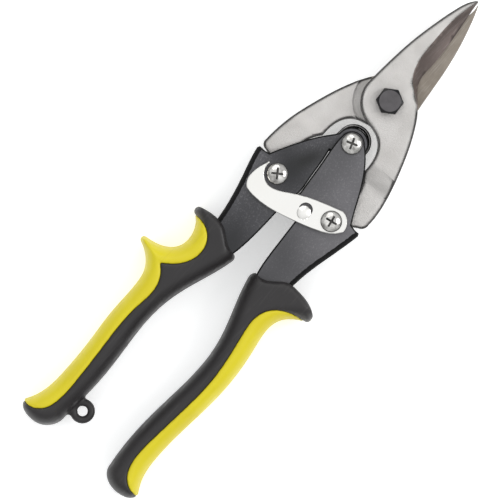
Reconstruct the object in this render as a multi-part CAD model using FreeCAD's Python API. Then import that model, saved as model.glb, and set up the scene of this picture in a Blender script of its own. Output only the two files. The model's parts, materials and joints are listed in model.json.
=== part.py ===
import FreeCAD, Part
import math
import os

os.makedirs("parts", exist_ok=True)

# Aviation snips lying on their back: +X runs along the tool to the jaw tip, +Y across to the left
# handle, +Z up. Shapes are drawn about the main bolt's axis, with Z = 0 at the blades' shear plane,
# and row_shift then puts the origin at the bottom centre of the whole tool.

# Main lines of the tool
row_shift = FreeCAD.Vector(69.88, -1.9, 10.0)
handle_pivot = (-23.1, 0.0)
left_link = (-52.5, 14.7)
right_link = (-52.5, -14.7)

# Blades
blade_top = 6.0
tip_top = 3.4
taper_start = 6.0
tip_x = 55.0
shear_gap = 0.05
tail_half = 3.2
boss_half = 4.5
boss_radius = 6.8
relief_radius = 15.0
relief_depth = 2.0
edge_height = 0.8
hollow_sink = 0.45

# Handles, pressed from sheet
sheet = 1.8
eye_top = 6.4
low_eye_top = 4.5
bend_radius = 2.6
web_start = -49.3

# Bolt, screws and nuts
bolt_radius = 3.0
bolt_flats = 10.0
bolt_head = 4.0
crown_share = 0.88
crown_slope = 0.5
washer_thickness = 1.0
washer_radius = 6.6
screw_radius = 2.5
screw_head_radius = 4.4
screw_head_rim = 0.7
screw_head_height = 2.1
screw_shoulder = (0.62, 0.86)
screw_end = -9.3
recess_length = 5.0
recess_width = 0.95
recess_depth = 1.5
nut_flats = 8.0
nut_thickness = 2.7
running = 0.05
open_pivot_clearance = 0.3

# Latch
latch_bottom = 6.9
latch_thickness = 1.3
latch_gap = 0.1
latch_washer_radius = 5.0
latch_chamfer = 0.25
bump_radius = 2.9
bump_height = 0.75
dome_radius = 6.0

# Spring and sleeve
wire_radius = 0.72
coil_radius = 6.6
coil_pitch = 1.4
leg_length = 19.0
leg_splay = 0.1
elbow_radius = 0.735
coil_centre = (-21.8, 0.0)
sleeve_radius = 4.4
sleeve_half = 2.6

# Grips
grip_half = 10.0
loop_centre = (-178.3, 9.9)
loop_radius = 5.2
loop_hole = 2.1
loop_half = 2.0

z_axis = FreeCAD.Vector(0, 0, 1)


def vec(x, y, z=0.0):
    return FreeCAD.Vector(x, y, z)


def edge_through(points):
    """Two points give a line, three an arc, more a smooth curve."""
    if len(points) == 2:
        return Part.makeLine(*points)
    if len(points) == 3:
        return Part.Arc(*points).toShape()
    curve = Part.BSplineCurve()
    curve.interpolate(points)
    return curve.toShape()


def outline(start, *stretches):
    """Closed wire from stretches, each going on from the last point of the one before."""
    edges = []
    here = start
    for stretch in stretches:
        edges.append(edge_through([vec(*p) for p in (here, *stretch)]))
        here = stretch[-1]
    return Part.Wire(edges)


def slab(wire, bottom, top):
    face = Part.Face(wire)
    face.translate(vec(0, 0, bottom))
    return face.extrude(vec(0, 0, top - bottom))


def side_slab(points, reach=60.0):
    """Solid from a side profile of (x, z) points, as wide as the tool."""
    corners = [vec(x, -reach, z) for x, z in points]
    face = Part.Face(Part.makePolygon(corners + corners[:1]))
    return face.extrude(vec(0, 2 * reach, 0))


def rod(centre, radius, bottom, top):
    return Part.makeCylinder(radius, top - bottom, vec(*centre, bottom), z_axis)


def tube(centre, inner, outer, bottom, top):
    return rod(centre, outer, bottom, top).cut(rod(centre, inner, bottom, top))


def turned_over(shape):
    return shape.rotated(vec(0, 0), vec(1, 0), 180)


def hexagon(centre, flats, bottom, top, angle, crown):
    """Hexagon prism with its corners rounded off at the crown, +1 for the top and -1 for below."""
    corner = flats / math.sqrt(3)
    ring = [vec(centre[0] + corner * math.cos(math.radians(angle + 60 * i)),
                centre[1] + corner * math.sin(math.radians(angle + 60 * i))) for i in range(7)]
    prism = slab(Part.makePolygon(ring), bottom, top)
    height = top - bottom
    small = crown_share * flats / 2
    wide = small + height / crown_slope
    base, up = (bottom, z_axis) if crown > 0 else (top, -z_axis)
    cone = Part.makeCone(wide, small, height, vec(*centre, base), up)
    return prism.common(cone)


def blade_height(x):
    """Top of the jaw, which thins towards its tip."""
    along = max(0.0, (x - taper_start) / (tip_x - taper_start))
    return blade_top - (blade_top - tip_top) * along


def blade_profile():
    """Side view that every blade is cut to: a thick head, and a tail in the middle plane."""
    return side_slab([
        (tip_x + 1, blade_height(tip_x + 1)), (taper_start, blade_top), (-23, blade_top),
        (-31, tail_half), (-62, tail_half), (-62, -tail_half), (-31, -tail_half),
        (-26, -relief_depth), (-1, -relief_depth), (-1, shear_gap), (tip_x + 1, shear_gap)])


def hollow_grind(upper, lower):
    """Cutter above a hollow face that runs from the upper line down to the cutting edge."""
    rims = []
    for share, sink in ((0.0, 0.0), (0.5, hollow_sink), (1.0, 0.0)):
        points = []
        for (ux, uy), (lx, ly) in zip(upper, lower):
            top = blade_height(ux)
            x, y = ux + share * (lx - ux), uy + share * (ly - uy)
            points.append(vec(x, y, top + share * (edge_height - top) - sink))
        rims.append(Part.Wire(edge_through(points)))
    face = Part.makeLoft(rims, False, False).Faces[0]
    return face.extrude(vec(0, 0, 12))


def blade(jaw_back, jaw_edge, grind, corner):
    """One blade in its own view: jaw to +X, tail to -Y, shear face down at Z = 0."""
    tip, heel = jaw_back[0], jaw_edge[0]
    end = right_link
    wire = outline(
        tip, jaw_back[1:],
        [(-8.6, 8.1), (-12.1, 1.2)],
        [(-12.6, -1), (-13.4, -4), (-15.0, -7), (-18, -9.5), (-21, -10.7), (-28, -11.3)],
        [(-31, -13.5), (-34, -14.9), (-37, -15.4), (-41, -14.3), (-45.0, -11.6)],
        [(end[0], end[1] + 7.6), (end[0] - 7.6, end[1])],
        [(-58, -20), (end[0], end[1] - 7.8)],
        [(-48.5, -22.5)], corner[:1], corner[1:],
        [(-38, -27.1), (-30, -25.7), (-20, -22.8), (-10, -19.2), (-4, -16.5), (1.5, -13.5), heel],
        jaw_edge[1:], [tip])
    body = slab(wire, -tail_half, blade_top).common(blade_profile())
    body = body.cut(rod((0, 0), relief_radius, -5, shear_gap))
    body = body.fuse(rod(end, boss_radius, -boss_half, boss_half))
    body = body.cut(rod(end, screw_radius + running, -boss_half, boss_half))
    return body.cut(hollow_grind(*grind)).removeSplitter()


def front_blade():
    jaw_back = [(tip_x, 0.3), (52, 2.6), (46, 4.9), (36, 7.4), (24, 9.7), (12, 11.0), (0, 11.8)]
    jaw_edge = [(5, -11), (8.5, -8), (12, -5), (15, -3.6), (22, -3.3), (32, -2.9), (42, -1.8),
                (50, -0.7), (54.6, -0.3)]
    grind = ([(4.2, -11.6), (6.4, -9), (10, -4.5), (13.5, -0.7), (19, 1.7), (30, 2.8), (40, 2.8),
              (49, 1.5), (56, -0.6)],
             [(5.4, -12.2), (7.6, -10), (11.2, -7), (15, -5), (22, -4.5), (32, -4.1), (42, -3.0),
              (50, -1.9), (56, -1.4)])
    corner = [(-47.0, -25.0), (-45.9, -26.6), (-43.5, -27.2)]
    shape = blade(jaw_back, jaw_edge, grind, corner)
    return shape.cut(rod((0, 0), bolt_radius, -1, blade_top + 1))


def rear_blade():
    jaw_back = [(tip_x - 0.7, 1.1), (50, 2.8), (45, 4.4), (36, 6.8), (24, 9.0), (12, 10.4), (0, 11.8)]
    jaw_edge = [(5, -11), (8.5, -8), (12, -5), (15, -3.6), (22, -3.3), (32, -2.6), (40, -1.4),
                (46, 0.2), (50, 1.1), (54.0, 0.9)]
    grind = ([(3.0, -13), (6.4, -9), (10, -4.5), (13.5, -0.7), (19, 1.7), (30, 3.0), (40, 3.6),
              (48, 3.2), (56, 2.6)],
             [(4.0, -13.4), (7.6, -10), (11.2, -7), (15, -5), (22, -4.5), (32, -3.8), (40, -2.6),
              (48, -0.4), (56, -0.4)])
    corner = [(-47.8, -25.6), (-47.1, -27.0), (-45.0, -27.6)]
    shape = turned_over(blade(jaw_back, jaw_edge, grind, corner))
    return shape.cut(rod((0, 0), bolt_radius + running, -blade_top - 1, 1))


def pivot_bolt():
    head = hexagon((0, 0), bolt_flats, blade_top, blade_top + bolt_head, 4, 1)
    return head.fuse(rod((0, 0), bolt_radius, -grip_half, blade_top))


def pivot_washer():
    top = -blade_top - latch_gap
    return tube((0, 0), bolt_radius, washer_radius, top - washer_thickness, top)


def pivot_nut():
    top = -blade_top - latch_gap - washer_thickness
    nut = hexagon((0, 0), bolt_flats, -grip_half, top, 10, -1)
    return nut.cut(rod((0, 0), bolt_radius, -grip_half, top))


def screw(centre, seat, angle):
    """Low domed head with a cross recess, and its shank down through both eyes."""
    rim, crown = vec(screw_head_radius, 0, screw_head_rim), vec(0, 0, screw_head_height)
    out, up = screw_shoulder
    shoulder = vec(out * screw_head_radius, 0, up * screw_head_height)
    profile = Part.Wire([
        Part.makeLine(vec(0, 0), vec(screw_head_radius, 0)),
        Part.makeLine(vec(screw_head_radius, 0), rim),
        Part.Arc(rim, shoulder, crown).toShape(),
        Part.makeLine(crown, vec(0, 0))])
    head = Part.Face(profile).revolve(vec(0, 0), z_axis, 360)
    floor = screw_head_height - recess_depth
    corner = vec(-recess_length / 2, -recess_width / 2, floor)
    slot = Part.makeBox(recess_length, recess_width, screw_head_height, corner)
    for turn in (angle, angle + 90):
        head = head.cut(slot.rotated(vec(0, 0), z_axis, turn))
    head.translate(vec(*centre, seat))
    return head.fuse(rod(centre, screw_radius, screw_end, seat))


def nut(centre, angle):
    top = -eye_top
    body = hexagon(centre, nut_flats, top - nut_thickness, top, angle, -1)
    return body.cut(rod(centre, screw_radius, top - nut_thickness, top))


def lever(wire, inside, steps):
    """Pressed channel: two plates and the web along the outer side, bent round at its edges."""
    block = slab(wire, -eye_top, eye_top)
    bends = [e for e in block.Edges if on_web(e)]
    block = block.makeFillet(bend_radius, bends)
    upper = side_slab(steps)
    plates = block.common(upper.fuse(turned_over(upper)))
    web = block.cut(slab(inside, -eye_top, eye_top))
    return plates.fuse(web).removeSplitter()


def on_web(edge):
    """Long outer edges of the channel, top and bottom."""
    box = edge.BoundBox
    middle = edge.valueAt((edge.FirstParameter + edge.LastParameter) / 2)
    return box.XLength > 50 and box.ZLength < 0.01 and abs(middle.y) > 20


right_web = [(-55, -26.0), (-62, -24.4), (-72, -22.1), (-83, -20.6), (-100, -21.2), (-120, -24),
             (-140, -24.8), (-178, -22.8)]
left_web = [(-55, 27.0), (-62, 25.0), (-72, 22.5), (-83, 20.8), (-100, 21.4), (-120, 25.2),
            (-140, 25.2), (-178, 23.6)]


def inside_of(web, side):
    """Everything inside the web, which is one sheet thick, and ahead of its start."""
    reach = 60 * side
    line = [(x, y - side * sheet) for x, y in web]
    corner = (web_start, line[0][1] + side * 1.1)
    return outline((10, reach), [(web_start, reach)], [corner], line,
                   [(-190, line[-1][1])], [(-190, -reach)], [(10, -reach)], [(10, reach)])


def right_wire():
    x, y = handle_pivot
    return outline(
        (x, y + 5.2), [(x + 5.2, y), (x + 3.1, y - 4.2)],
        [(-25, -9.2), (-30, -12.7), (-36, -16), (-42, -18.8), (-48.2, -22.0)],
        [(web_start, -27.1)], right_web,
        [(-178, -16.0)],
        [(-140, -17.2), (-120, -15.4), (-104, -11), (-88, -6.0), (-75, -4.5), (-62.8, -3.7)],
        [(-59.5, -2.6), (-57.3, 0)],
        [(-55.5, 2.2), (-52, 2.6)],
        [(-45, 3.3), (-36, 4.2), (-30, 5.0), (x, y + 5.2)])


def left_wire():
    x, y = handle_pivot
    return outline(
        (x, y + 6.8), [(x + 6.8, y), (x, y - 6.8)],
        [(x - 5.3, y - 4.3), (x - 6.6, y + 1.8)],
        [(-31, 5.25)],
        [(-36, 4.4), (-45, 3.5), (-52, 2.85), (-58, 3.8), (-64.8, 4.5)],
        [(-75, 4.8), (-88.5, 6.3), (-104, 11), (-120, 15.8), (-140, 17), (-178, 16.4)],
        [(-178, 23.6)], left_web[-2::-1] + [(web_start, 28.2)],
        [(-48.4, 22.7)],
        [(-42, 19.5), (-35, 15.5), (-28, 10.7), (-25.5, 8.6), (x, y + 6.8)])


def level_steps():
    return [(-190, eye_top - sheet), (0, eye_top - sheet), (0, eye_top), (-190, eye_top)]


def joggled_steps():
    """Plates that step inwards before the common pivot, to pass between the other pair."""
    ramp_start, ramp_end = -45.0, -30.4
    return [(-190, eye_top - sheet), (ramp_start, eye_top - sheet), (ramp_end, low_eye_top - sheet),
            (0, low_eye_top - sheet), (0, low_eye_top), (ramp_end, low_eye_top),
            (ramp_start, eye_top), (-190, eye_top)]


def right_handle():
    shape = lever(right_wire(), inside_of(right_web, -1), level_steps())
    for centre in (handle_pivot, right_link):
        shape = shape.cut(rod(centre, screw_radius, -10, 10))
    return shape


def left_handle():
    shape = lever(left_wire(), inside_of(left_web, 1), joggled_steps())
    shape = shape.cut(rod(handle_pivot, screw_radius + open_pivot_clearance, -10, 10))
    return shape.cut(rod(left_link, screw_radius, -10, 10))


def latch():
    """Hook plate over the left screw, with its round eye on the right one and a raised thumb bump."""
    x, y = right_link
    wire = outline(
        (-51.2, 20.6),
        [(-50.9, 20.3), (-51.4, 20.05)],
        [(-54.8, 19.65), (-57.2, 17.6), (-58.4, 14.6), (-58.2, 12.2), (-56.8, 8.7), (-53.1, 2.3),
         (-50.0, -4.6), (-47.4, -12.0), (-46.3, -15.5)],
        [(x + 4.5, y - 4.6), (x, y - 6.5)],
        [(-56.2, -17.9), (-58.7, -13.5), (-61.8, -5.1), (-64.0, 2.6), (-65.4, 9.7), (-65.7, 15),
         (-65.1, 20)],
        [(-62.6, 22.1), (-59.5, 22.6)],
        [(-57, 22.4), (-54.5, 21.7), (-52.8, 21.1), (-51.2, 20.6)])
    top = latch_bottom + latch_thickness
    plate = slab(wire, latch_bottom, top)
    rim = [e for e in plate.Edges if e.BoundBox.ZLength < 0.01 and e.BoundBox.ZMin > latch_bottom]
    plate = plate.makeChamfer(latch_chamfer, rim)
    bump, crescent = (-57.3, -4.0), (-55.8, -3.7)
    opening = rod(crescent, bump_radius, latch_bottom, top).cut(rod(bump, bump_radius, latch_bottom, top))
    sunk = top + bump_height - dome_radius
    dome = Part.makeSphere(dome_radius, vec(*bump, sunk)).common(rod(bump, bump_radius, top - 0.6, top + 2))
    plate = plate.cut(opening).fuse(dome)
    plate = plate.cut(rod((x, y), screw_radius + running, latch_bottom, top))
    return plate.removeSplitter()


def latch_washer():
    return tube(right_link, screw_radius, latch_washer_radius, eye_top, latch_bottom - latch_gap)


def return_spring():
    """Close coil of wire rings round the sleeve, with a straight leg into each handle's channel."""
    rings = [Part.makeTorus(coil_radius, wire_radius, vec(0, 0, level * coil_pitch)) for level in (-1, 0, 1)]
    spring = rings[0].fuse(rings[1:])
    for side in (1, -1):
        bend = vec(0, side * coil_radius, side * coil_pitch)
        arm = Part.makeCylinder(wire_radius, leg_length, bend, vec(-1, leg_splay * side, 0))
        spring = spring.fuse(arm.fuse(Part.makeSphere(elbow_radius, bend)))
    spring.translate(vec(*coil_centre))
    return spring


def spring_sleeve():
    return tube(handle_pivot, screw_radius, sleeve_radius, -sleeve_half, sleeve_half)


def moulded(wire, lever_shape):
    """Vinyl moulded round a handle's tang, filling its channel."""
    return slab(wire, -grip_half, grip_half).cut(lever_shape)


def two_colours(body, strip, wire, inside):
    """Main colour, which also fills the channel, and the second colour's strip outside it."""
    low, high = sheet - eye_top, eye_top - sheet
    filling = slab(wire, low, high).common(slab(inside, low, high))
    inlay = body.common(strip).cut(filling)
    return body.cut(inlay), inlay


def right_grip_parts(lever_shape):
    body = moulded(outline(
        (-88.5, -5.7),
        [(-88, -11), (-85, -15), (-83, -18), (-82.6, -23), (-83.7, -30), (-86.3, -34.9)],
        [(-88, -35.6), (-89.9, -34.9)],
        [(-92, -31), (-96.5, -26.4), (-102, -24.8), (-110, -25.6), (-120, -27.2), (-132, -28),
         (-150, -27), (-172, -25.7), (-181, -26.6), (-189, -30.2)],
        [(-191.8, -28.8), (-193.8, -24), (-193.6, -19), (-191.4, -14.9), (-187, -13)],
        [(-178, -12.1), (-165, -12), (-150, -13.1), (-135, -14.1), (-120, -12.8), (-110, -10),
         (-100, -6.6), (-92.5, -4.6)],
        [(-90, -4.6), (-88.5, -5.7)]), lever_shape)
    strip = slab(outline(
        (-190.2, -40),
        [(-189.6, -30), (-188.4, -25), (-185, -21.2), (-180, -19.3), (-168, -19.1), (-150, -20.7),
         (-134, -21.4), (-120, -19.9), (-110, -18.1), (-104, -17.5), (-97.5, -19.3), (-93, -24),
         (-90.8, -30), (-90.2, -40)],
        [(-190.2, -40)]), -grip_half, grip_half)
    return two_colours(body, strip, right_wire(), inside_of(right_web, -1))


def hang_loop():
    x, y = loop_centre
    arch = outline((x + 5.0, y + 1.5), [(x + 5.4, y + 6)], [(x - 5.4, y + 6)], [(x - 5.0, y + 1.5)],
                   [(x, y - loop_radius), (x + 5.0, y + 1.5)])
    ring = slab(arch, -loop_half, loop_half)
    return ring, rod((x, y), loop_hole, -loop_half, loop_half)


def left_grip_parts(lever_shape):
    body = moulded(outline(
        (-88.8, 6.5),
        [(-88.2, 9.5), (-85.2, 13.8), (-83, 17.3), (-82.3, 21), (-82.6, 25.5), (-83.4, 29)],
        [(-85.2, 30.6), (-87, 29.6)],
        [(-89, 27), (-93, 24.9), (-97, 24.3), (-101, 25.3), (-104.4, 28.4), (-106.5, 33), (-107.3, 38)],
        [(-108.9, 39.4), (-110.3, 38.4)],
        [(-112.6, 34.1), (-117, 30.1), (-125, 28.3), (-140, 28.2), (-155, 27), (-170, 26.5),
         (-180, 27.1), (-190, 31)],
        [(-192.8, 29.9), (-194.7, 25), (-193.9, 19.3), (-190.4, 15.2), (-184, 13.7)],
        [(-173, 13), (-162, 12.8), (-150, 13.5), (-132, 14.6), (-120, 13.3), (-110, 10.5),
         (-100, 7), (-91.3, 4.6)],
        [(-89.6, 4.9), (-88.8, 6.5)]), lever_shape)
    ring, hole = hang_loop()
    body = body.fuse(ring.cut(lever_shape)).cut(hole)
    strip = slab(outline(
        (-191.4, 45),
        [(-190.9, 31), (-190, 26), (-186.5, 22), (-181, 20.2), (-170, 19.9), (-150, 21.2),
         (-132, 21.6), (-119, 21.2), (-114.5, 23.3), (-111.5, 26.5)],
        [(-110, 24.3), (-107.5, 21.3), (-103, 18), (-97, 16.6), (-91, 18.7), (-87.9, 23), (-87.2, 29),
         (-86.8, 45)],
        [(-191.4, 45)]), -grip_half, grip_half)
    return two_colours(body, strip, left_wire(), inside_of(left_web, 1))


def all_parts():
    right_lever, left_lever = right_handle(), left_handle()
    right_black, right_yellow = right_grip_parts(right_lever)
    left_black, left_yellow = left_grip_parts(left_lever)
    latch_top = latch_bottom + latch_thickness + latch_gap
    return {
        "front_blade": front_blade(),
        "rear_blade": rear_blade(),
        "pivot_bolt": pivot_bolt(),
        "pivot_washer": pivot_washer(),
        "pivot_nut": pivot_nut(),
        "right_handle": right_lever,
        "left_handle": left_lever,
        "right_grip": right_black,
        "right_grip_inlay": right_yellow,
        "left_grip": left_black,
        "left_grip_inlay": left_yellow,
        "handle_pivot_screw": screw(handle_pivot, eye_top, 20),
        "handle_pivot_nut": nut(handle_pivot, 12),
        "left_blade_screw": screw(left_link, eye_top, 35),
        "left_blade_nut": nut(left_link, 40),
        "right_blade_screw": screw(right_link, latch_top, 10),
        "right_blade_nut": nut(right_link, 25),
        "latch": latch(),
        "latch_washer": latch_washer(),
        "return_spring": return_spring(),
        "spring_sleeve": spring_sleeve(),
    }


tool = FreeCAD.BoundBox()
for name, shape in all_parts().items():
    shape.translate(row_shift)
    tool.add(shape.optimalBoundingBox(True, False))
    print(name, "solids", len(shape.Solids), "valid", shape.isValid(), "mm3", round(shape.Volume))
    shape.exportStep(f"parts/{name}.step")
print("box", tool.XMin, tool.XMax, tool.YMin, tool.YMax, tool.ZMin, tool.ZMax)
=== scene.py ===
import json
import math

import bmesh
import bpy
import numpy as np
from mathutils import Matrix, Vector


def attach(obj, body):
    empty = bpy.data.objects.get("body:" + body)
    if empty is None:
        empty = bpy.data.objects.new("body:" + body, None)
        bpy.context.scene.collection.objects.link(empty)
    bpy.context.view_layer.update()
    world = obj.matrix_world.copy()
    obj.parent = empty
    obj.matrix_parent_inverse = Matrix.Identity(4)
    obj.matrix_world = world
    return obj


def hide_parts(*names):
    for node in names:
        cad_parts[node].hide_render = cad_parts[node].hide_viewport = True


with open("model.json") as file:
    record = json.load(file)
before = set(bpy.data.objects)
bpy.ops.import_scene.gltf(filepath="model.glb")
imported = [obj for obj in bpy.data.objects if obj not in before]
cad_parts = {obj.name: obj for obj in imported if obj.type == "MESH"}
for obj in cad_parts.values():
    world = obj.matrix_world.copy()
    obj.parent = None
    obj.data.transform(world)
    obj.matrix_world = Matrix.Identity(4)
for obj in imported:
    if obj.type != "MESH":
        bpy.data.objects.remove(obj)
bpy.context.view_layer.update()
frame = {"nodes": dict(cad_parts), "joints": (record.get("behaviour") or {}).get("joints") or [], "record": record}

mm = 0.001
nodes = frame["nodes"]
jointByName = {j["name"]: j for j in frame["joints"]}
boltAxis = Vector(jointByName["jaw_opening"]["pos_m"])  # every place below is taken from the main bolt
print("frame loaded", len(nodes), "nodes")


def place(x, y, z=0.0):
    return boltAxis + Vector((x, y, z)) * mm


def selectOnly(*objects):
    if bpy.context.object and bpy.context.object.mode != "OBJECT":
        bpy.ops.object.mode_set(mode="OBJECT")
    bpy.ops.object.select_all(action="DESELECT")
    for o in objects:
        o.select_set(True)
    bpy.context.view_layer.objects.active = objects[0]


def editMesh(piece, mode="FACE"):
    selectOnly(piece)
    bpy.ops.object.mode_set(mode="EDIT")
    bpy.ops.mesh.select_mode(type=mode)
    bpy.ops.mesh.select_all(action="DESELECT")
    return bmesh.from_edit_mesh(piece.data)


def leaveEdit():
    bpy.ops.object.mode_set(mode="OBJECT")


def applyPlace(piece):
    selectOnly(piece)
    bpy.ops.object.transform_apply(location=True, rotation=True, scale=True)


def addModifier(piece, kind, **values):
    selectOnly(piece)
    made = piece.modifiers.new(kind.title(), kind)
    for key, value in values.items():
        setattr(made, key, value)
    bpy.ops.object.modifier_apply(modifier=made.name)


view = {
    "target": (-83.2, 2.35, 4.0),   # looked at, from the main bolt
    "width": 204.6,                 # seen from side to side at that height
    "roll": -48.4,
    "lens": 200.0,
    "sensor": 36.0,
    "far": 20,
}


def makeCamera():
    data = bpy.data.cameras.new("camera")
    data.lens = view["lens"]
    data.sensor_width = view["sensor"]
    distance = view["width"] * mm * view["lens"] / view["sensor"]
    camera = bpy.data.objects.new("camera", data)
    camera.location = place(*view["target"]) + Vector((0, 0, distance))
    camera.rotation_euler = (0, 0, math.radians(view["roll"]))
    data.clip_end = view["far"]
    bpy.context.collection.objects.link(camera)
    bpy.context.scene.camera = camera


light = {
    "sky": (0.97, 0.985, 1.0, 1.0),
    "horizon": 0.28,    # strength of the sky at eye level
    "zenith": 1.05,     # and straight above
    "key": {"at": (0.75, -0.8, 0.95), "size": 0.8, "watts": 7.0},
    "fill": {"at": (0.6, 0.8, 0.9), "size": 1.0, "watts": 3.5},
}


def makeSky():
    world = bpy.data.worlds.new("studio")
    bpy.context.scene.world = world
    world.use_nodes = True
    tree = world.node_tree
    background = tree.nodes["Background"]
    background.inputs["Color"].default_value = light["sky"]
    way = tree.nodes.new("ShaderNodeTexCoord")
    parts = tree.nodes.new("ShaderNodeSeparateXYZ")
    ramp = tree.nodes.new("ShaderNodeMapRange")
    ramp.inputs["To Min"].default_value = light["horizon"]
    ramp.inputs["To Max"].default_value = light["zenith"]
    tree.links.new(way.outputs["Generated"], parts.inputs[0])
    tree.links.new(parts.outputs["Z"], ramp.inputs["Value"])
    tree.links.new(ramp.outputs["Result"], background.inputs["Strength"])


def makeLights():
    bpy.context.scene.view_settings.view_transform = "Standard"   # keeps plain white white
    makeSky()
    for name in ("key", "fill"):
        data = bpy.data.lights.new(name, "AREA")
        data.shape = "DISK"
        data.size = light[name]["size"]
        data.energy = light[name]["watts"]
        lamp = bpy.data.objects.new(name, data)
        lamp.location = light[name]["at"]
        lamp.rotation_euler = (-Vector(light[name]["at"])).to_track_quat("-Z", "Y").to_euler()
        bpy.context.collection.objects.link(lamp)


# a lit table
floorLook = {"size": 6.0, "colour": (0.93, 0.93, 0.925, 1), "roughness": 0.9, "glow": 0.42}


def makeFloor():
    bpy.ops.mesh.primitive_plane_add(size=floorLook["size"], location=(0, 0, 0))
    floor = bpy.context.object
    floor.name = "floor"
    material = bpy.data.materials.new("paleFloor")
    material.use_nodes = True
    shader = material.node_tree.nodes["Principled BSDF"]
    shader.inputs["Base Color"].default_value = floorLook["colour"]
    shader.inputs["Roughness"].default_value = floorLook["roughness"]
    shader.inputs["Emission Color"].default_value = floorLook["colour"]
    shader.inputs["Emission Strength"].default_value = floorLook["glow"]
    floor.data.materials.append(material)
    print("stage set")


def startGroup(name, inputs, outputs):
    group = bpy.data.node_groups.new(name, "ShaderNodeTree")
    for label, kind, value in inputs:
        socket = group.interface.new_socket(name=label, in_out="INPUT", socket_type=kind)
        socket.default_value = value
    for label, kind in outputs:
        group.interface.new_socket(name=label, in_out="OUTPUT", socket_type=kind)
    return group, group.nodes.new("NodeGroupInput"), group.nodes.new("NodeGroupOutput")


def addNode(tree, kind, settings=None, **inputs):
    # inputs go in by name, or by number as i0, i1 and so on
    node = tree.nodes.new(kind)
    for key, value in (settings or {}).items():
        setattr(node, key, value)
    for key, value in inputs.items():
        socket = node.inputs[int(key[1:])] if key[0] == "i" and key[1:].isdigit() else node.inputs[key]
        if isinstance(value, bpy.types.NodeSocket):
            tree.links.new(value, socket)
        else:
            socket.default_value = value
    return node


def mathNode(tree, operation, first, second=0.0, clamp=False):
    return addNode(tree, "ShaderNodeMath", {"operation": operation, "use_clamp": clamp},
                   i0=first, i1=second).outputs[0]


def band(tree, value, low, high):
    node = addNode(tree, "ShaderNodeMapRange", None, Value=value)
    node.inputs["From Min"].default_value = low
    node.inputs["From Max"].default_value = high
    return node.outputs[0]


def objectPoint(tree):
    return addNode(tree, "ShaderNodeTexCoord").outputs["Object"]


# low and high ends of the bands that turn a field into a mask
bands = {
    "cloud": (0.35, 0.68), "wear": (0.01, 0.12), "grit": (0.35, 0.6), "rim": (0.02, 0.05),
    "line": (0.56, 0.66), "darkReflection": (1.3, 0.35),
}
bevelSamples = {"wear": 4, "rim": 8}


def mottleGroup():
    group, source, result = startGroup(
        "mottle",
        [("Base", "NodeSocketColor", (0.5, 0.5, 0.5, 1)), ("Stain", "NodeSocketColor", (0.4, 0.4, 0.4, 1)),
         ("Scale", "NodeSocketFloat", 60.0), ("Strength", "NodeSocketFloat", 0.5),
         ("Detail", "NodeSocketFloat", 5.0)],
        [("Color", "NodeSocketColor"), ("Mask", "NodeSocketFloat")])
    cloud = addNode(group, "ShaderNodeTexNoise", None, Vector=objectPoint(group),
                    Scale=source.outputs["Scale"], Detail=source.outputs["Detail"])
    mask = band(group, cloud.outputs["Fac"], *bands["cloud"])
    share = mathNode(group, "MULTIPLY", mask, source.outputs["Strength"])
    mix = addNode(group, "ShaderNodeMix", {"data_type": "RGBA"}, i0=share,
                  i6=source.outputs["Base"], i7=source.outputs["Stain"])
    group.links.new(mix.outputs[2], result.inputs["Color"])
    group.links.new(mask, result.inputs["Mask"])
    return group


def cornerTurn(group, width, samples, plainName):
    # how far the rounded normal leans from the plain one
    rounded = addNode(group, "ShaderNodeBevel", {"samples": samples}, Radius=width)
    plain = group.nodes.new("ShaderNodeNewGeometry")
    dot = addNode(group, "ShaderNodeVectorMath", {"operation": "DOT_PRODUCT"},
                  i0=rounded.outputs["Normal"], i1=plain.outputs[plainName])
    return mathNode(group, "SUBTRACT", 1.0, dot.outputs["Value"])


def edgeWearGroup():
    # bright where the surface turns sharply, broken up by a fine noise
    group, source, result = startGroup(
        "edgeWear",
        [("Width", "NodeSocketFloat", 0.0006), ("Amount", "NodeSocketFloat", 1.0),
         ("Breakup", "NodeSocketFloat", 900.0)],
        [("Mask", "NodeSocketFloat")])
    turned = cornerTurn(group, source.outputs["Width"], bevelSamples["wear"], "Normal")
    sharp = band(group, turned, *bands["wear"])
    grit = addNode(group, "ShaderNodeTexNoise", None, Vector=objectPoint(group),
                   Scale=source.outputs["Breakup"])
    broken = mathNode(group, "MULTIPLY", sharp, band(group, grit.outputs["Fac"], *bands["grit"]))
    group.links.new(mathNode(group, "MULTIPLY", broken, source.outputs["Amount"], True),
                    result.inputs["Mask"])
    return group


def rimShadeBandGroup():
    # even band along sharp corners only, for the blades' dark rim of painted shade
    group, source, result = startGroup(
        "rimShadeBand", [("Width", "NodeSocketFloat", 0.001)], [("Mask", "NodeSocketFloat")])
    turned = cornerTurn(group, source.outputs["Width"], bevelSamples["rim"], "True Normal")
    group.links.new(band(group, turned, *bands["rim"]), result.inputs["Mask"])
    return group


def grainGroup():
    # fine height field of two noises, for blasted, cast and moulded skins
    group, source, result = startGroup(
        "grain",
        [("Fine", "NodeSocketFloat", 4000.0), ("Coarse", "NodeSocketFloat", 600.0),
         ("Balance", "NodeSocketFloat", 0.4)],
        [("Height", "NodeSocketFloat")])
    fine = addNode(group, "ShaderNodeTexNoise", None, Vector=objectPoint(group),
                   Scale=source.outputs["Fine"])
    coarse = addNode(group, "ShaderNodeTexNoise", None, Vector=objectPoint(group),
                     Scale=source.outputs["Coarse"])
    mix = addNode(group, "ShaderNodeMix", None, i0=source.outputs["Balance"],
                  i2=fine.outputs["Fac"], i3=coarse.outputs["Fac"])
    group.links.new(mix.outputs[0], result.inputs["Height"])
    return group


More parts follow.
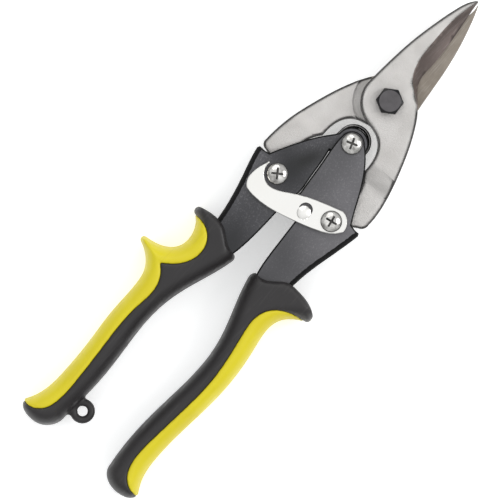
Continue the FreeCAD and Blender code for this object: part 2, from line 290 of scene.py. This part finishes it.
def strokeGroup():
    # long fine lines, turned and stretched by a mapping, for grinding marks and scratches
    group, source, result = startGroup(
        "strokes",
        [("Turn", "NodeSocketVector", (0, 0, 0)), ("Stretch", "NodeSocketVector", (200, 6000, 200))],
        [("Height", "NodeSocketFloat"), ("Lines", "NodeSocketFloat")])
    mapping = addNode(group, "ShaderNodeMapping", None, Vector=objectPoint(group),
                      Rotation=source.outputs["Turn"], Scale=source.outputs["Stretch"])
    field = addNode(group, "ShaderNodeTexNoise", None, Vector=mapping.outputs["Vector"],
                    Scale=1.0, Detail=4.0, Roughness=0.6).outputs["Fac"]
    group.links.new(field, result.inputs["Height"])
    group.links.new(band(group, field, *bands["line"]), result.inputs["Lines"])
    return group


def darkReflectionGroup():
    # soft oval mask about one place, used for a painted dark reflection
    group, source, result = startGroup(
        "darkReflection",
        [("Centre", "NodeSocketVector", (0, 0, 0)), ("Turn", "NodeSocketVector", (0, 0, 0)),
         ("Size", "NodeSocketVector", (1, 1, 1))],
        [("Mask", "NodeSocketFloat")])
    mapping = addNode(group, "ShaderNodeMapping", {"vector_type": "TEXTURE"}, Vector=objectPoint(group),
                      Location=source.outputs["Centre"], Rotation=source.outputs["Turn"],
                      Scale=source.outputs["Size"])
    reach = addNode(group, "ShaderNodeVectorMath", {"operation": "LENGTH"}, i0=mapping.outputs["Vector"])
    group.links.new(band(group, reach.outputs["Value"], *bands["darkReflection"]), result.inputs["Mask"])
    return group


effects = {}


def useGroup(tree, name, **inputs):
    node = tree.nodes.new("ShaderNodeGroup")
    node.node_tree = effects[name]
    for key, value in inputs.items():
        if isinstance(value, bpy.types.NodeSocket):
            tree.links.new(value, node.inputs[key])
        else:
            node.inputs[key].default_value = value
    return node


def startMaterial(name, look):
    material = bpy.data.materials.new(name)
    material.use_nodes = True
    tree = material.node_tree
    shader = tree.nodes["Principled BSDF"]
    shader.inputs["Metallic"].default_value = look.get("metallic", 0.0)
    shader.inputs["Roughness"].default_value = look.get("roughness", 0.5)
    shader.inputs["IOR"].default_value = look.get("ior", 1.5)
    shader.inputs["Coat Weight"].default_value = look.get("coat", 0.0)
    shader.inputs["Coat Roughness"].default_value = look.get("coatRoughness", 0.1)
    return material, tree, shader


def setBump(tree, shader, height, depth, strength=1.0):
    bump = addNode(tree, "ShaderNodeBump", None, Height=height)
    bump.inputs["Distance"].default_value = depth
    bump.inputs["Strength"].default_value = strength
    tree.links.new(bump.outputs["Normal"], shader.inputs["Normal"])


def mixColours(tree, share, first, second):
    mix = addNode(tree, "ShaderNodeMix", {"data_type": "RGBA"}, i0=share, i6=first, i7=second)
    return mix.outputs[2]


def spread(tree, value, low, high):
    node = addNode(tree, "ShaderNodeMapRange", None, Value=value)
    node.inputs["To Min"].default_value = low
    node.inputs["To Max"].default_value = high
    return node.outputs[0]


def metalMaterial(name, look):
    # one recipe for all bare and plated metal: stain (on the polished screw heads painted reflections), grain or
    # grinding marks, bright worn edges, and on the blades a dark rim of painted shade
    material, tree, shader = startMaterial(name, look)
    stainAndReflection = useGroup(tree, "mottle", Base=look["colour"], Stain=look["stainAndReflection"],
                     Scale=look["stainScale"], Strength=look["stainShare"])
    wear = useGroup(tree, "edgeWear", Width=look["edgeWidth"], Amount=look["edgeAmount"])
    marks = useGroup(tree, "strokes", Turn=(0, 0, math.radians(look["strokeTurn"])),
                     Stretch=look["strokeStretch"])
    grain = useGroup(tree, "grain", Fine=look["grainFine"], Coarse=look["grainCoarse"])
    scored = mixColours(tree, mathNode(tree, "MULTIPLY", marks.outputs["Lines"], look["strokeShare"]),
                        stainAndReflection.outputs["Color"], look["edge"])
    colour = mixColours(tree, wear.outputs["Mask"], scored, look["edge"])
    if "rimShadeWidth" in look:
        # a dark band along sharp corners: painted shade
        rim = useGroup(tree, "rimShadeBand", Width=look["rimShadeWidth"])
        colour = mixColours(tree, rim.outputs["Mask"], colour, look["rim"])
    tree.links.new(colour, shader.inputs["Base Color"])
    low, high = look["roughRange"]
    tree.links.new(spread(tree, stainAndReflection.outputs["Mask"], low, high), shader.inputs["Roughness"])
    blend = addNode(tree, "ShaderNodeMix", None, i0=look["strokeBump"], i2=grain.outputs["Height"],
                    i3=marks.outputs["Height"])
    setBump(tree, shader, blend.outputs[0], look["bump"])
    return material


blastedSteel = {
    "colour": (0.57, 0.55, 0.53, 1), "stainAndReflection": (0.47, 0.45, 0.43, 1), "stainScale": 90.0,
    "stainShare": 0.6, "edge": (0.80, 0.79, 0.77, 1), "edgeWidth": 0.0005, "edgeAmount": 0.4,
    "strokeTurn": 0, "strokeStretch": (300, 5000, 300), "strokeShare": 0.0, "strokeBump": 0.0,
    "grainFine": 4200.0, "grainCoarse": 1300.0, "roughRange": (0.42, 0.54), "bump": 0.00022,
    "metallic": 1.0,
}
# the dark rim colour along the blades' sharp corners is painted shade
bladeSteel = dict(blastedSteel, rimShadeWidth=0.0028, rim=(0.06, 0.058, 0.056, 1))
# darker copy of the blade steel for its sides and eased edges: painted shade
rimShadeSteel = dict(
    blastedSteel, colour=(0.20, 0.195, 0.19, 1), stainAndReflection=(0.10, 0.095, 0.09, 1), stainScale=60.0,
    edge=(0.42, 0.41, 0.4, 1), edgeAmount=0.5, roughRange=(0.34, 0.48), bump=0.00004)
groundSteel = dict(
    blastedSteel, colour=(0.135, 0.11, 0.102, 1), stainAndReflection=(0.10, 0.082, 0.075, 1), stainScale=45.0,
    edge=(0.34, 0.31, 0.29, 1), edgeAmount=0.25, strokeTurn=62, strokeStretch=(90, 4200, 400),
    strokeShare=0.35, strokeBump=0.8, roughRange=(0.45, 0.55), bump=0.00004)
shearSteel = dict(
    groundSteel, colour=(0.30, 0.262, 0.22, 1), stainAndReflection=(0.19, 0.163, 0.135, 1), stainScale=120.0,
    stainShare=0.8, strokeTurn=8, edge=(0.55, 0.53, 0.5, 1), roughRange=(0.34, 0.44))
brightPlate = dict(
    blastedSteel, colour=(0.92, 0.905, 0.87, 1), stainAndReflection=(0.86, 0.84, 0.80, 1), stainScale=38.0,
    edge=(0.97, 0.965, 0.95, 1), strokeTurn=30, strokeStretch=(60, 5200, 300), strokeShare=0.10,
    strokeBump=0.6, grainFine=900.0, grainCoarse=220.0, roughRange=(0.24, 0.32), bump=0.000008)
# its dark fine mottle is painted reflections on the polished heads
brightScrew = dict(
    brightPlate, colour=(0.88, 0.86, 0.82, 1), stainAndReflection=(0.20, 0.19, 0.18, 1), stainScale=420.0,
    stainShare=0.85, roughRange=(0.08, 0.2), strokeTurn=75, bump=0.00003, grainCoarse=900.0)
# dark copy of the screw steel: painted shade in the cross recess and round the head
recessShadeSteel = dict(
    brightScrew, colour=(0.10, 0.095, 0.09, 1), stainAndReflection=(0.03, 0.03, 0.03, 1), edgeAmount=0.2,
    roughRange=(0.3, 0.45))
zincSteel = dict(
    brightScrew, colour=(0.52, 0.53, 0.53, 1), stainAndReflection=(0.42, 0.43, 0.44, 1), roughRange=(0.24, 0.38))
springSteel = dict(
    brightScrew, colour=(0.16, 0.155, 0.15, 1), stainAndReflection=(0.07, 0.07, 0.07, 1), roughRange=(0.18, 0.3),
    edgeAmount=0.0)
blackOxide = dict(
    blastedSteel, colour=(0.018, 0.018, 0.02, 1), stainAndReflection=(0.035, 0.033, 0.03, 1), stainScale=210.0,
    edge=(0.16, 0.155, 0.15, 1), edgeWidth=0.0004, edgeAmount=0.6, metallic=0.75,
    strokeStretch=(500, 3000, 500), strokeShare=0.08, grainFine=2600.0, roughRange=(0.3, 0.46),
    bump=0.00003)
paleOxide = dict(
    blackOxide, colour=(0.115, 0.108, 0.112, 1), stainAndReflection=(0.075, 0.07, 0.072, 1), stainScale=300.0)

blackPaint = {
    # the second cloud colour over the black is a painted sheen for grey reflections; the speck colour paints
    # glints on the peel
    "colour": (0.040, 0.039, 0.042, 1), "paintedSheen": (0.135, 0.130, 0.138, 1), "bare": (0.20, 0.195, 0.19, 1),
    "roughness": 0.2, "cloud": 30.0, "detail": 1.0, "peelGlint": (0.24, 0.235, 0.24, 1), "peel": 1500.0,
    "peelDepth": 0.0002, "ior": 1.42, "coat": 0.2, "coatRoughness": 0.12, "wear": 0.12,
    "cloudShare": 0.95, "fineRatio": 2.2, "peelBalance": 0.6, "dotBand": (0.52, 0.66), "dotShare": 0.5,
    "wearWidth": 0.0003, "wearBreakup": 700.0, "roughSpread": 0.2, "peelStrength": 0.4,
    # near-black oval placed on the left plate: painted dark reflection, switched off in this paint
    "dark": (0.004, 0.004, 0.004, 1), "darkReflection": (-40.4, 9.5), "darkReflectionTurn": -24, "darkReflectionSize": (11, 4.2, 20),
    "darkReflectionShare": 0.0,
}
# the same black paint made darker for the left plate, with the near-black oval on: painted dark reflection
leftDarkReflectionPaint = dict(
    blackPaint, colour=(0.012, 0.012, 0.014, 1), paintedSheen=(0.075, 0.073, 0.080, 1), darkReflectionShare=0.96)
# near-black copy of the paint for the plates' eased edges, bend and web: painted shade
edgeShadePaint = dict(
    blackPaint, colour=(0.002, 0.002, 0.002, 1), paintedSheen=(0.006, 0.006, 0.006, 1), ior=1.25, coat=0.0,
    roughness=0.5, peelGlint=(0.02, 0.02, 0.02, 1), wear=0.05)


def paintMaterial(name, look):
    # glossy stove enamel: cloudy reflections painted into the colour as a grey sheen, painted glints on the orange
    # peel within it, and slightly rubbed edges
    material, tree, shader = startMaterial(name, look)
    cloud = useGroup(tree, "mottle", Base=look["colour"], Stain=look["paintedSheen"], Scale=look["cloud"],
                     Strength=look["cloudShare"], Detail=look["detail"])
    x, y, z = look["darkReflectionSize"]
    darkReflection = useGroup(tree, "darkReflection", Centre=place(*look["darkReflection"]), Size=(x * mm, y * mm, z * mm),
                     Turn=(0, 0, math.radians(look["darkReflectionTurn"])))
    peel = useGroup(tree, "grain", Fine=look["peel"] * look["fineRatio"], Coarse=look["peel"],
                    Balance=look["peelBalance"])
    dots = mathNode(tree, "MULTIPLY", band(tree, peel.outputs["Height"], *look["dotBand"]),
                    look["dotShare"])
    # painted glints: light specks on the peel, only inside the painted sheen
    glinted = mixColours(tree, mathNode(tree, "MULTIPLY", dots, cloud.outputs["Mask"]),
                          cloud.outputs["Color"], look["peelGlint"])
    # the near-black oval mixed in: painted dark reflection
    shaded = mixColours(tree, mathNode(tree, "MULTIPLY", darkReflection.outputs["Mask"], look["darkReflectionShare"]),
                        glinted, look["dark"])
    wear = useGroup(tree, "edgeWear", Width=look["wearWidth"], Amount=look["wear"],
                    Breakup=look["wearBreakup"])
    tree.links.new(mixColours(tree, wear.outputs["Mask"], shaded, look["bare"]),
                   shader.inputs["Base Color"])
    roughest = look["roughness"] + look["roughSpread"]
    tree.links.new(spread(tree, cloud.outputs["Mask"], look["roughness"], roughest),
                   shader.inputs["Roughness"])
    setBump(tree, shader, peel.outputs["Height"], look["peelDepth"], look["peelStrength"])
    return material


blackVinyl = {
    "colour": (0.0165, 0.0145, 0.0150, 1), "faded": (0.026, 0.0235, 0.024, 1),
    "edgeAndScuffColour": (0.07, 0.066, 0.064, 1),
    "roughRange": (0.42, 0.56), "grain": 0.00006, "ior": 1.48,
    "fadeScale": 48.0, "fadeShare": 0.55, "markTurn": 15, "markStretch": (70, 900, 90), "markShare": 0.16,
    "wearWidth": 0.0008, "wear": 0.3, "wearBreakup": 500.0,
    "skinFine": 3600.0, "skinCoarse": 1400.0, "skinBalance": 0.45,
}
# the yellow's edge colour is a darker orange: painted shade along edges and creases, as well as scuffs
yellowVinyl = dict(
    blackVinyl, colour=(0.70, 0.60, 0.006, 1), faded=(0.64, 0.52, 0.006, 1), edgeAndScuffColour=(0.50, 0.40, 0.02, 1),
    roughRange=(0.40, 0.52), grain=0.00005)


def vinylMaterial(name, look):
    # moulded vinyl: slight fading, faint scuffs along edges (on the yellow a darker orange that is also painted
    # shade along edges and creases), a fine satin grain
    material, tree, shader = startMaterial(name, look)
    fade = useGroup(tree, "mottle", Base=look["colour"], Stain=look["faded"],
                    Scale=look["fadeScale"], Strength=look["fadeShare"])
    marks = useGroup(tree, "strokes", Turn=(0, 0, math.radians(look["markTurn"])),
                     Stretch=look["markStretch"])
    wear = useGroup(tree, "edgeWear", Width=look["wearWidth"], Amount=look["wear"],
                    Breakup=look["wearBreakup"])
    scuffed = mathNode(tree, "MULTIPLY", marks.outputs["Lines"], look["markShare"])
    share = mathNode(tree, "ADD", wear.outputs["Mask"], scuffed, True)
    tree.links.new(mixColours(tree, share, fade.outputs["Color"], look["edgeAndScuffColour"]),
                   shader.inputs["Base Color"])
    low, high = look["roughRange"]
    tree.links.new(spread(tree, fade.outputs["Mask"], low, high), shader.inputs["Roughness"])
    skin = useGroup(tree, "grain", Fine=look["skinFine"], Coarse=look["skinCoarse"],
                    Balance=look["skinBalance"])
    setBump(tree, shader, skin.outputs["Height"], look["grain"])
    return material


materials = {}


def makeMaterials():
    effects["mottle"] = mottleGroup()
    effects["edgeWear"] = edgeWearGroup()
    effects["grain"] = grainGroup()
    effects["strokes"] = strokeGroup()
    effects["darkReflection"] = darkReflectionGroup()
    effects["rimShadeBand"] = rimShadeBandGroup()
    metals = {
        "bladeSteel": bladeSteel, "rimShadeSteel": rimShadeSteel, "groundSteel": groundSteel,
        "shearSteel": shearSteel, "brightPlate": brightPlate, "brightScrew": brightScrew,
        "recessShadeSteel": recessShadeSteel, "zincSteel": zincSteel, "springSteel": springSteel,
        "blackOxide": blackOxide, "paleOxide": paleOxide}
    paints = {"blackPaint": blackPaint, "leftDarkReflectionPaint": leftDarkReflectionPaint, "edgeShadePaint": edgeShadePaint}
    vinyls = {"blackVinyl": blackVinyl, "yellowVinyl": yellowVinyl}
    for recipe, looks in ((metalMaterial, metals), (paintMaterial, paints), (vinylMaterial, vinyls)):
        for name, look in looks.items():
            materials[name] = recipe(name, look)
    print("materials", len(materials))


weld = 0.002         # millimetres between points that become one
flatAngle = 1.0      # degrees between faces that become one
smoothAngle = {"metal": 35, "latch": 20, "spring": 60}   # degrees, for most metal and two exceptions


def copyOf(node, name):
    selectOnly(nodes[node])
    bpy.ops.object.duplicate()
    piece = bpy.context.object
    piece.name = name
    piece.parent = None
    editMesh(piece, "VERT")
    bpy.ops.mesh.select_all(action="SELECT")
    bpy.ops.mesh.remove_doubles(threshold=weld * mm)
    bpy.ops.mesh.dissolve_limited(angle_limit=math.radians(flatAngle))
    leaveEdit()
    return piece


def easeEdges(piece, width, segments, sharpAngle, clamp=True, keepSharp=None, slot=-1):
    mesh = editMesh(piece, "EDGE")
    for edge in mesh.edges:
        if len(edge.link_faces) == 2 and edge.calc_face_angle(0) > math.radians(sharpAngle):
            middle = (edge.verts[0].co + edge.verts[1].co) / 2 - boltAxis
            if not (keepSharp and keepSharp(middle / mm)):
                edge.select_set(True)
    bmesh.update_edit_mesh(piece.data)
    bpy.ops.mesh.bevel(offset=width * mm, segments=segments, clamp_overlap=clamp, material=slot)
    bpy.ops.mesh.select_all(action="SELECT")
    bpy.ops.mesh.remove_doubles(threshold=weld * mm)
    leaveEdit()


def giveSlots(piece, names):
    piece.data.materials.clear()
    for name in names:
        piece.data.materials.append(materials[name])


def standFor(piece, node):
    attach(piece, bodyOfNode[node])
    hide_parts(node)


def finishMetal(piece, node, smooth=smoothAngle["metal"]):
    selectOnly(piece)
    bpy.ops.object.shade_smooth_by_angle(angle=math.radians(smooth))
    addModifier(piece, "WEIGHTED_NORMAL", keep_sharp=True)
    standFor(piece, node)


def faceSpots(piece):
    # each face with its middle in millimetres from the main bolt
    return [(face, (Vector(face.center) - boltAxis) / mm) for face in piece.data.polygons]


bodyOfNode = {n: body for body, group in frame["record"]["behaviour"]["bodies"].items() for n in group}

easedPieces = {
    # node: (new name, finishes, width, segments, angle)
    "right_handle": ("rightLever", ["blackPaint", "edgeShadePaint"], 0.6, 3, 40),
    "left_handle": ("leftLever", ["leftDarkReflectionPaint", "edgeShadePaint"], 0.6, 3, 40),
    "pivot_bolt": ("mainBolt", ["blackOxide", "paleOxide"], 0.22, 2, 25),
    "pivot_nut": ("mainNut", ["blackOxide", "paleOxide"], 0.22, 2, 25),
    "pivot_washer": ("mainWasher", ["zincSteel"], 0.12, 2, 40),
    "handle_pivot_nut": ("commonPivotNut", ["zincSteel"], 0.18, 2, 25),
    "left_blade_nut": ("leftScrewNut", ["zincSteel"], 0.18, 2, 25),
    "right_blade_nut": ("rightScrewNut", ["zincSteel"], 0.18, 2, 25),
    "handle_pivot_screw": ("commonPivotScrew", ["brightScrew", "recessShadeSteel"], 0.12, 2, 30),
    "left_blade_screw": ("leftScrew", ["brightScrew", "recessShadeSteel"], 0.12, 2, 30),
    "right_blade_screw": ("rightScrew", ["brightScrew", "recessShadeSteel"], 0.12, 2, 30),
    "latch": ("latchHook", ["brightPlate"], 0.16, 2, 35),
    "latch_washer": ("latchShim", ["zincSteel"], 0.08, 2, 40),
}


recess = {"crown": 0.3, "reach": 2.7, "deepest": 1.9, "highest": 0.12, "rimReach": 3.8, "rimTurn": 0.75,
          "wallTurn": 0.5, "floorTurn": 0.999}


def shadeRecess(piece):
    # painted shade: the cross recess, and the steep rim round the head, are darker than the polished head
    spots = faceSpots(piece)
    top = max(at.z for _, at in spots)
    crown = [at for _, at in spots if at.z > top - recess["crown"]]
    middle = sum(crown, Vector()) / len(crown)
    for face, at in spots:
        reach = math.hypot(at.x - middle.x, at.y - middle.y)
        up = face.normal.z
        sunk = reach < recess["reach"] and top - recess["deepest"] < at.z < top - recess["highest"]
        rim = reach > recess["rimReach"] and up < recess["rimTurn"]
        if rim or sunk and (abs(up) < recess["wallTurn"] or up > recess["floorTurn"]):
            face.material_index = 1


boltEnd = {"turn": 0.98, "reach": 5}


def colourCrown(piece):
    # flat ends of the bolt and its nut are paler than the flanks
    for face, at in faceSpots(piece):
        if abs(face.normal.z) > boltEnd["turn"] and math.hypot(at.x, at.y) < boltEnd["reach"]:
            face.material_index = 1


bend = {"turn": 0.985, "out": 17}


def shadeBend(piece):
    # painted shade: the rounded bend and the web outside it get the near-black edge paint
    for face, at in faceSpots(piece):
        if abs(face.normal.z) < bend["turn"] and abs(at.y) > bend["out"]:
            face.material_index = 1


def makeEasedPieces():
    for node, (name, finishes, width, segments, angle) in easedPieces.items():
        piece = copyOf(node, name)
        giveSlots(piece, finishes)
        if "edgeShadePaint" in finishes:
            # eased faces take the near-black edge paint: painted shade along every plate edge
            easeEdges(piece, width, segments, angle, clamp=False, slot=1)
            shadeBend(piece)
        else:
            easeEdges(piece, width, segments, angle)
        if "recessShadeSteel" in finishes:
            shadeRecess(piece)
        elif "paleOxide" in finishes:
            colourCrown(piece)
        finishMetal(piece, node, smoothAngle.get(node, smoothAngle["metal"]))
    print("eased pieces", len(easedPieces))


blade = {
    "edgeWidth": 0.3, "segments": 3, "angle": 52,
    "boreKept": 8,                     # radius round the main bolt that stays sharp
    "cutStart": 1,                     # the sharp cutting edge: its start, its sides and its taper
    "cutSides": (-13, 4.3),
    "taperStart": 40,
    "taper": 0.29,
    "shearKept": 0.3,
    "tipEnd": {1: 50.5, -1: 44.0},     # where the eased edge stops short of each tip
    "shearBand": 0.12,
    "jawStart": 3.0,
    "grindStart": 2.5,
    "grindTurn": (0.2, 0.992),         # upward share of the ground face's normals
    "sideTurn": 0.75,
    "boltClear": 4,
}


def bladeEdgeKept(point, side):
    # cutting edges, bores and the shear face stay sharp; side is +1 for the front blade, -1 for the rear
    low, high = blade["cutSides"]
    narrowed = high - max(0, point.x - blade["taperStart"]) * blade["taper"]
    cutting = point.x > blade["cutStart"] and low < point.y * side < narrowed
    nearBolt = math.hypot(point.x, point.y) < blade["boreKept"]
    return nearBolt or cutting or abs(point.z) < blade["shearKept"] or point.x > blade["tipEnd"][side]


def makeBlade(node, name, side):
    piece = copyOf(node, name)
    editMesh(piece)
    bpy.ops.mesh.select_all(action="SELECT")
    bpy.ops.mesh.bisect(plane_co=place(blade["jawStart"], 0), plane_no=(1, 0, 0))
    leaveEdit()
    giveSlots(piece, ["bladeSteel", "groundSteel", "shearSteel", "rimShadeSteel"])
    # eased faces go to slot 3, the darker rim steel: painted shade along the blade edges
    easeEdges(piece, blade["edgeWidth"], blade["segments"], blade["angle"],
              keepSharp=lambda point: bladeEdgeKept(point, side), slot=3)
    steepest, flattest = blade["grindTurn"]
    for face, at in faceSpots(piece):
        up = face.normal.z * side
        inGrind = at.x > blade["grindStart"] and at.y * side < blade["cutSides"][1]
        if inGrind and steepest < up < flattest and at.z * side > blade["shearKept"]:
            face.material_index = 1
        elif abs(at.z) < blade["shearBand"] and at.x > blade["jawStart"]:
            face.material_index = 2
        elif abs(up) < blade["sideTurn"] and math.hypot(at.x, at.y) > blade["boltClear"]:
            face.material_index = 3
    # steep sides take the darker rim steel: painted shade
    finishMetal(piece, node)
    print(name, len(piece.data.polygons), "faces")


coil = {"centre": (-21.8, 0.0), "radius": 6.6, "wire": 0.72, "rise": 1.46, "turns": 2.5, "leg": 19.0,
        "flare": 0.1, "steps": 40, "sides": 4}


def makeSpring():
    # a leg, the close coil and the other leg as one wire
    half = coil["rise"] * coil["turns"] / 2
    x, y = coil["centre"]
    route = [(-coil["leg"], -coil["radius"] - coil["flare"] * coil["leg"], -half)]
    count = int(coil["steps"] * coil["turns"])
    for i in range(count + 1):
        angle = math.radians(-90 + 360 * coil["turns"] * i / count)
        route.append((coil["radius"] * math.cos(angle), coil["radius"] * math.sin(angle),
                      -half + 2 * half * i / count))
    route.append((-coil["leg"], coil["radius"] + coil["flare"] * coil["leg"], half))
    data = bpy.data.curves.new("returnCoil", "CURVE")
    data.dimensions = "3D"
    line = data.splines.new("POLY")
    line.points.add(len(route) - 1)
    for point, (px, py, pz) in zip(line.points, route):
        point.co = (*place(x + px, y + py, pz), 1)
    data.bevel_depth = coil["wire"] * mm
    data.bevel_resolution = coil["sides"]
    data.use_fill_caps = True
    piece = bpy.data.objects.new("returnCoil", data)
    bpy.context.collection.objects.link(piece)
    selectOnly(piece)
    bpy.ops.object.convert(target="MESH")
    giveSlots(piece, ["springSteel"])
    finishMetal(piece, "return_spring", smoothAngle["spring"])
    print(piece.name, len(piece.data.polygons), "faces")


grip = {
    "half": 9.95,        # half thickness
    "round": 6.2,        # how far in from the outline the side is fully rounded
    "cell": 0.8,
    "mouthLip": 2.2,     # radius of the lip where the lever goes in
    "groove": 0.45,      # depth of the line between the two colours
    "grooveWidth": 0.55,
    "voxel": 0.5,
    "smooth": 4,
    "flatTurn": 0.99,    # top faces of the plain solid
    "topBand": 0.05,
    "seamGap": 0.06,
    "mouthReach": 7.0,
    "steepness": 0.55,
    "grooveLimit": 0.6,  # most of the local height that the groove may take
    "lift": 0.1,         # metres, only while the two sides are told apart
    "weld": 0.01,
}


def rimSegments(node):
    # boundary of a sub-part's flat top face, as rows of x0, y0, x1, y1 in millimetres
    data = nodes[node].data
    top = max(v.co.z for v in data.vertices)
    count = {}
    for face in data.polygons:
        if face.normal.z < grip["flatTurn"] or abs(face.center.z - top) > grip["topBand"] * mm:
            continue
        loop = [tuple(round(c / mm, 3) for c in (data.vertices[i].co - boltAxis)[:2]) for i in face.vertices]
        for a, b in zip(loop, loop[1:] + loop[:1]):
            key = tuple(sorted((a, b)))
            count.setdefault(key, []).append((a, b))
    return np.array([[*u[0][0], *u[0][1]] for u in count.values() if len(u) == 1])


def nearest(points, segments):
    # distance to a set of segments and the closest point on it, for many points at once
    best = np.full(len(points), 1e9)
    spot = np.zeros_like(points)
    for x0, y0, x1, y1 in segments:
        start, way = np.array([x0, y0]), np.array([x1 - x0, y1 - y0])
        share = np.clip((points - start) @ way / max(way @ way, 1e-9), 0, 1)
        closest = start + share[:, None] * way
        distance = np.hypot(*(points - closest).T)
        near = distance < best
        best[near] = distance[near]
        spot[near] = closest[near]
    return best, spot


def inside(points, segments):
    crossings = np.zeros(len(points), int)
    for x0, y0, x1, y1 in segments:
        spans = (y0 > points[:, 1]) != (y1 > points[:, 1])
        if y1 != y0:
            at = x0 + (points[:, 1] - y0) * (x1 - x0) / (y1 - y0)
            crossings += spans & (points[:, 0] < at)
    return crossings % 2 == 1


def splitRim(node, partner):
    # the rim falls into the seam shared with the other colour, the mouth and the open sides
    own, other = rimSegments(node), rimSegments(partner)
    middles = (own[:, :2] + own[:, 2:]) / 2
    seam = nearest(middles, other)[0] < grip["seamGap"]
    mouthX = max(own[:, 0].max(), other[:, 0].max()) - grip["mouthReach"]
    ahead = own[:, 3] > own[:, 1]
    steep = abs(own[:, 3] - own[:, 1]) > grip["steepness"] * abs(own[:, 2] - own[:, 0])
    mouth = ~seam & (middles[:, 0] > mouthX) & steep & ahead
    return own, own[seam], own[mouth], own[~seam & ~mouth]


def swell(points, sides, seam, mouth):
    depth = np.clip(nearest(points, sides)[0] / grip["round"], 0, 1)
    height = grip["half"] * np.sqrt(1 - (1 - depth) ** 2)
    if len(mouth):
        lip = grip["mouthLip"]
        near = np.clip(nearest(points, mouth)[0], 0, lip)
        height = np.minimum(height, grip["half"] - lip + np.sqrt(lip ** 2 - (lip - near) ** 2))
    close = nearest(points, seam)[0]
    groove = grip["groove"] * np.exp(-(close / grip["grooveWidth"]) ** 2)
    return height - np.minimum(groove, grip["grooveLimit"] * height)


def makeGripPiece(node, partner, name):
    own, seam, mouth, sides = splitRim(node, partner)
    low, high = own.reshape(-1, 2).min(0), own.reshape(-1, 2).max(0)
    size = high - low + 2 * grip["cell"]
    steps = [int(s / grip["cell"]) for s in size]
    centre = (low + high) / 2
    bpy.ops.mesh.primitive_grid_add(x_subdivisions=steps[0], y_subdivisions=steps[1], size=mm,
                                    location=place(*centre))
    piece = bpy.context.object
    piece.name = name
    piece.scale = (size[0], size[1], 1)
    applyPlace(piece)
    mesh = editMesh(piece)
    mesh.faces.ensure_lookup_table()
    centres = np.array([((f.calc_center_median() - boltAxis) / mm)[:2] for f in mesh.faces])
    keep = inside(centres, own)
    for face, kept in zip(mesh.faces, keep):
        face.select_set(not kept)
    bmesh.update_edit_mesh(piece.data)
    bpy.ops.mesh.delete(type="FACE")
    mesh = bmesh.from_edit_mesh(piece.data)
    rim = [v for v in mesh.verts if v.is_boundary]
    spots = nearest(np.array([((v.co - boltAxis) / mm)[:2] for v in rim]), own)[1]
    for vert, spot in zip(rim, spots):
        vert.co = place(*spot)
    bpy.ops.mesh.select_all(action="SELECT")
    bpy.ops.mesh.extrude_region_move(TRANSFORM_OT_translate={"value": (0, 0, grip["lift"])})
    mesh = bmesh.from_edit_mesh(piece.data)
    points = np.array([((v.co - boltAxis) / mm)[:2] for v in mesh.verts])
    _, _, otherMouth, otherSides = splitRim(partner, node)
    heights = swell(points, np.vstack([sides, otherSides]), seam, np.vstack([mouth, otherMouth]))
    for vert, height in zip(mesh.verts, heights):
        level = 1 if vert.co.z > boltAxis.z + grip["lift"] / 2 else -1
        vert.co.z = boltAxis.z + level * height * mm
    bpy.ops.mesh.select_all(action="SELECT")
    bpy.ops.mesh.remove_doubles(threshold=grip["weld"] * mm)
    bpy.ops.mesh.normals_make_consistent(inside=False)
    leaveEdit()
    return piece


def finishGrip(piece, node, material):
    addModifier(piece, "REMESH", mode="VOXEL", voxel_size=grip["voxel"] * mm)
    addModifier(piece, "SMOOTH", factor=0.5, iterations=grip["smooth"])
    giveSlots(piece, [material])
    selectOnly(piece)
    bpy.ops.object.shade_smooth()
    standFor(piece, node)
    print(piece.name, len(piece.data.polygons), "faces")


hangLoop = {"centre": (-178.3, 9.9), "hole": 2.1, "ring": 1.55, "thick": 1.95, "web": (3.0, 6.0, 2.9),
            "webOut": 3.4, "webUp": 3.6, "webTurn": -12, "webRound": 0.8}


def addHangLoop(piece):
    # a moulded eye: a flattened ring on a short web, fused into the grip
    middle = hangLoop["hole"] + hangLoop["ring"]
    bpy.ops.mesh.primitive_torus_add(major_radius=middle * mm, minor_radius=hangLoop["ring"] * mm,
                                     major_segments=64, minor_segments=24,
                                     location=place(*hangLoop["centre"]))
    ring = bpy.context.object
    ring.scale.z = hangLoop["thick"] / hangLoop["ring"]
    applyPlace(ring)
    webs = []
    x, y = hangLoop["centre"]
    for side in (-1, 1):
        spot = place(x + side * hangLoop["webOut"], y + hangLoop["webUp"])
        bpy.ops.mesh.primitive_cube_add(size=mm, location=spot)
        web = bpy.context.object
        web.scale = hangLoop["web"]
        web.rotation_euler.z = side * math.radians(hangLoop["webTurn"])
        applyPlace(web)
        editMesh(web)
        bpy.ops.mesh.select_all(action="SELECT")
        bpy.ops.mesh.bevel(offset=hangLoop["webRound"] * mm, segments=3)
        leaveEdit()
        webs.append(web)
    selectOnly(piece, ring, *webs)
    bpy.ops.object.join()


def makeGrips():
    for side in ("right", "left"):
        black, yellow = f"{side}_grip", f"{side}_grip_inlay"
        sleeve = makeGripPiece(black, yellow, f"{side}Sleeve")
        if side == "left":
            addHangLoop(sleeve)
        finishGrip(sleeve, black, "blackVinyl")
        strip = makeGripPiece(yellow, black, f"{side}Strip")
        finishGrip(strip, yellow, "yellowVinyl")


selectOnly(nodes["front_blade"])
makeCamera()
makeLights()
makeFloor()
makeMaterials()
makeEasedPieces()
makeBlade("front_blade", "upperBlade", 1)
makeBlade("rear_blade", "lowerBlade", -1)
makeSpring()
makeGrips()
giveSlots(nodes["spring_sleeve"], ["zincSteel"])
